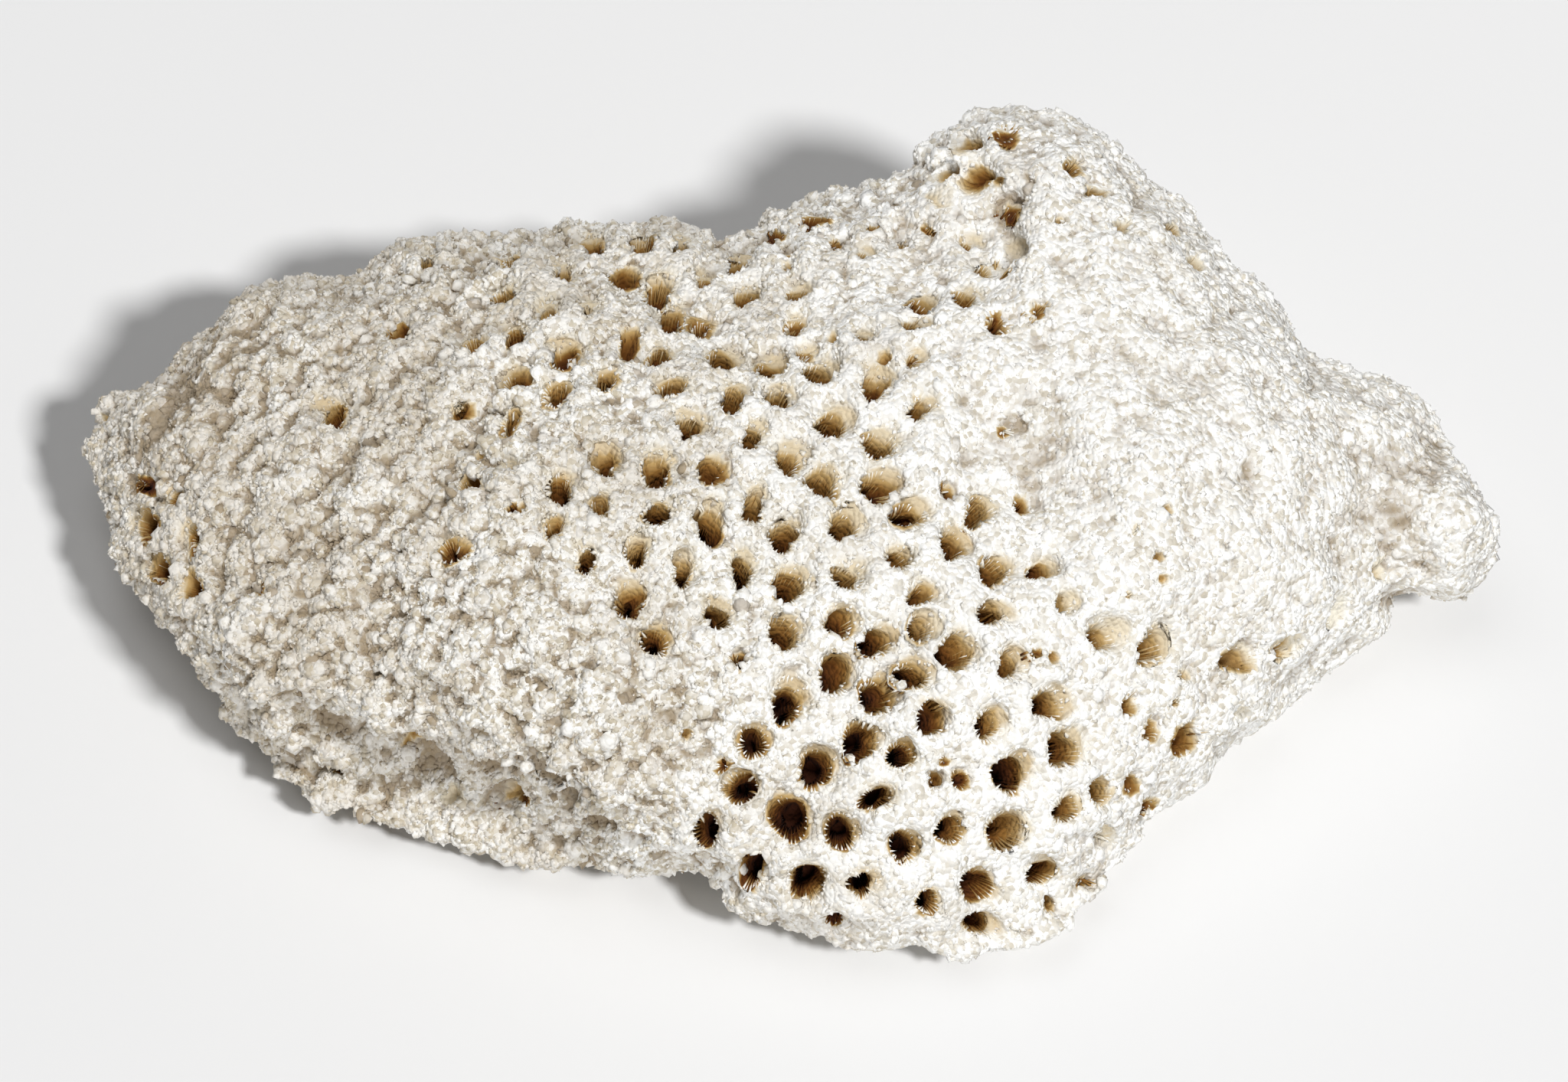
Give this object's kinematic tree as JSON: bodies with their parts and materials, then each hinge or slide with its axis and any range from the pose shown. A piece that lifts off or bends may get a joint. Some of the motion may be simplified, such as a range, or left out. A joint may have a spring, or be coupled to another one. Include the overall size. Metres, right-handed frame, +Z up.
{
  "type": "fossil coral",
  "caption": "Loose lump of fossil coral: a domed, granular upper side with a band of round tube mouths, lying on a flat broken underside.",
  "frame": {"origin": "under the middle of the lump's bounding box, at the level of the flat break that it rests on", "axes": "+Z up from the break, +X along the lump's length, towards the end with the small hooked lobe, -Y towards the side that slopes down to the front"},
  "size_m": [0.121, 0.073, 0.0307],
  "materials": {
    "coral_stone": "rough, granular and matte, off-white to cream, with amber to dark brown stain down in the tubes"
  },
  "bodies": {
    "root": {"coral": "coral_stone"}
  },
  "joints": []
}
